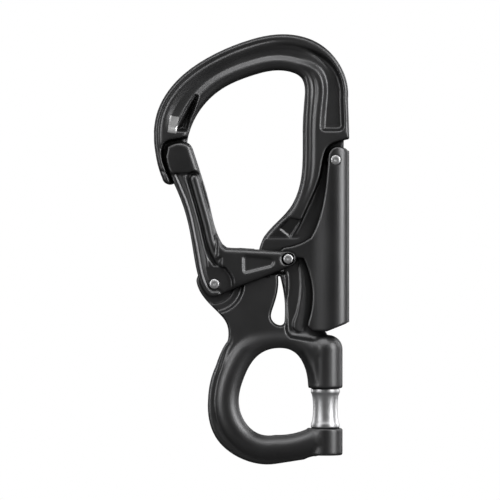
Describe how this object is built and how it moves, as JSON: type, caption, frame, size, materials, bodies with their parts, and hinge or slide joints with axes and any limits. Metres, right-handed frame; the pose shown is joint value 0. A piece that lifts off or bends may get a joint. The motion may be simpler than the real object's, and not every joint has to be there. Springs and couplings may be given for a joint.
{
  "type": "auto-locking lanyard hook",
  "caption": "Forged auto-locking lanyard hook with inward gate, squeeze trigger in the back, and a lanyard eye closed by a screw and turned spacer.",
  "frame": {"origin": "the point where the lanyard sits, at the bottom of the eye, in the hook's middle plane", "axes": "+Z from the lanyard eye up to the hook's crown, +Y from the front face to the back face, +X from the gate side to the trigger side"},
  "size_m": [0.0752, 0.0148, 0.1654],
  "materials": {
    "black_forging": "black anodised forging, semi-gloss",
    "black_gate": "black anodised, semi-gloss",
    "rivet_steel": "stainless, satin",
    "turned_spacer": "turned, natural",
    "bush_bronze": "plain bearing bronze",
    "spring_steel": "drawn wire",
    "dark_screw": "blackened"
  },
  "bodies": {
    "hook_body": {"frame": "black_forging", "gate_pivot_bush": "bush_bronze", "trigger_pivot_bush": "bush_bronze", "gate_washer_front": "rivet_steel", "gate_washer_back": "rivet_steel", "trigger_washer_front": "rivet_steel", "trigger_washer_back": "rivet_steel", "eye_thread_insert": "rivet_steel", "gate_return_spring": "spring_steel", "trigger_return_spring": "spring_steel"},
    "gate_arm": {"gate": "black_gate", "gate_pivot_rivet": "rivet_steel", "lock_stud_front": "rivet_steel", "lock_stud_back": "rivet_steel"},
    "squeeze_trigger": {"trigger": "black_gate", "trigger_pivot_rivet": "rivet_steel"},
    "spacer": {"eye_spacer": "turned_spacer"},
    "screw": {"eye_screw": "dark_screw"}
  },
  "joints": [
    {"name": "trigger_squeeze", "type": "hinge", "parent": "hook_body", "child": "squeeze_trigger", "pos_m": [0.02305, 0, 0.10585], "axis": [0, 1, 0], "range_deg": [0, 6], "stiffness_Nm_per_rad": 1.2, "springref_deg": -8.59, "deforming": ["trigger_return_spring"]},
    {"name": "gate_swing", "type": "hinge", "parent": "hook_body", "child": "gate_arm", "pos_m": [-0.0235, 0, 0.05825], "axis": [0, 1, 0], "range_deg": [0, 26], "stiffness_Nm_per_rad": 0.05, "springref_deg": -17.19, "deforming": ["gate_return_spring"]},
    {"name": "spacer_spin", "type": "hinge", "parent": "hook_body", "child": "spacer", "pos_m": [0.0192, 0, 0.0104], "axis": [0, 0, 1], "continuous": true},
    {"name": "screw_draw", "type": "slide", "parent": "hook_body", "child": "screw", "axis": [0, 0, -1], "range_m": [0, 0.038]}
  ],
  "couplings": [
    {"joint": "gate_swing", "follows": "trigger_squeeze", "ratio": 4.3333}
  ]
}
